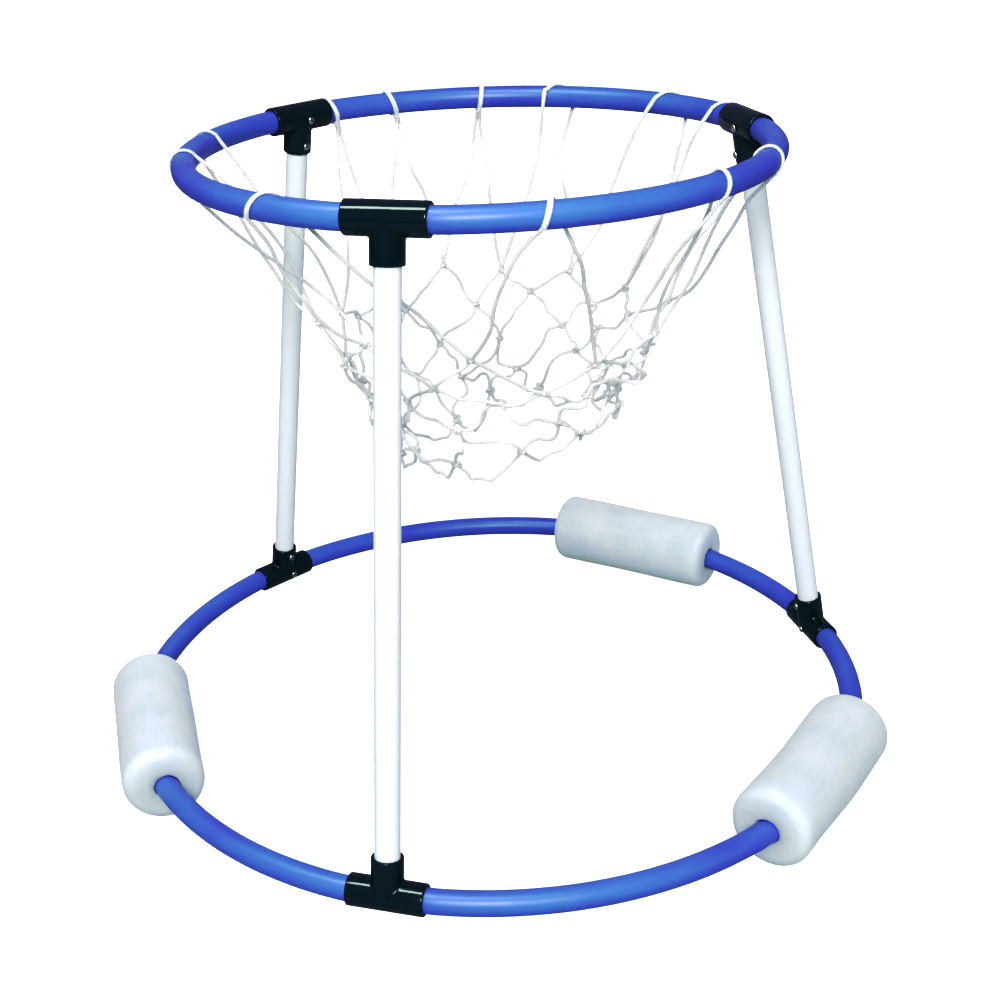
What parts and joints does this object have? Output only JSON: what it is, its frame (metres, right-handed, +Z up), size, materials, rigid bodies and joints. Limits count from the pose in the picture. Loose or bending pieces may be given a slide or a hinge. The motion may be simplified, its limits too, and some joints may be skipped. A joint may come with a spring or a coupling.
{
  "type": "floating basketball hoop",
  "caption": "Pool basketball hoop: a tube hoop with a cord net on three splayed legs over a larger base ring that floats on foam sleeves.",
  "frame": {"origin": "middle of the floor area that the part covers, on the floor under its floats", "axes": "+Z up, -Y towards the front leg, +X to the right seen from the front"},
  "size_m": [0.7027, 0.6988, 0.5438],
  "materials": {
    "blue_tube": "satin",
    "black_tee": "gloss",
    "white_tube": "satin",
    "white_foam": "matte",
    "screw_steel": "satin",
    "net_cord": "matte"
  },
  "bodies": {
    "frame": {"hoop_tube_right": "blue_tube", "hoop_tube_back": "blue_tube", "hoop_tube_left": "blue_tube", "base_tube_right": "blue_tube", "base_tube_back": "blue_tube", "base_tube_left": "blue_tube", "hoop_tee_front": "black_tee", "hoop_tee_right": "black_tee", "hoop_tee_left": "black_tee", "base_tee_front": "black_tee", "base_tee_right": "black_tee", "base_tee_left": "black_tee", "leg_front": "white_tube", "leg_right": "white_tube", "leg_left": "white_tube", "hoop_tee_front_run_screw": "screw_steel", "hoop_tee_front_stem_screw": "screw_steel", "hoop_tee_right_run_screw": "screw_steel", "hoop_tee_right_stem_screw": "screw_steel", "hoop_tee_left_run_screw": "screw_steel", "hoop_tee_left_stem_screw": "screw_steel", "base_tee_front_run_screw": "screw_steel", "base_tee_front_stem_screw": "screw_steel", "base_tee_right_run_screw": "screw_steel", "base_tee_right_stem_screw": "screw_steel", "base_tee_left_run_screw": "screw_steel", "base_tee_left_stem_screw": "screw_steel", "net": "net_cord"},
    "float_left": {"float_left": "white_foam"},
    "float_back": {"float_back": "white_foam"},
    "float_right": {"float_right": "white_foam"}
  },
  "joints": [
    {"name": "float_left_slide", "type": "hinge", "parent": "frame", "child": "float_left", "pos_m": [-0.008, -0.0115, 0.03263], "axis": [0, 0, 1], "range_deg": [-38.5, 37.5]},
    {"name": "float_back_slide", "type": "hinge", "parent": "frame", "child": "float_back", "pos_m": [-0.008, -0.0115, 0.03263], "axis": [0, 0, 1], "range_deg": [-23.2, 52.8]},
    {"name": "float_right_slide", "type": "hinge", "parent": "frame", "child": "float_right", "pos_m": [-0.008, -0.0115, 0.03263], "axis": [0, 0, 1], "range_deg": [-49.1, 26.9]}
  ]
}
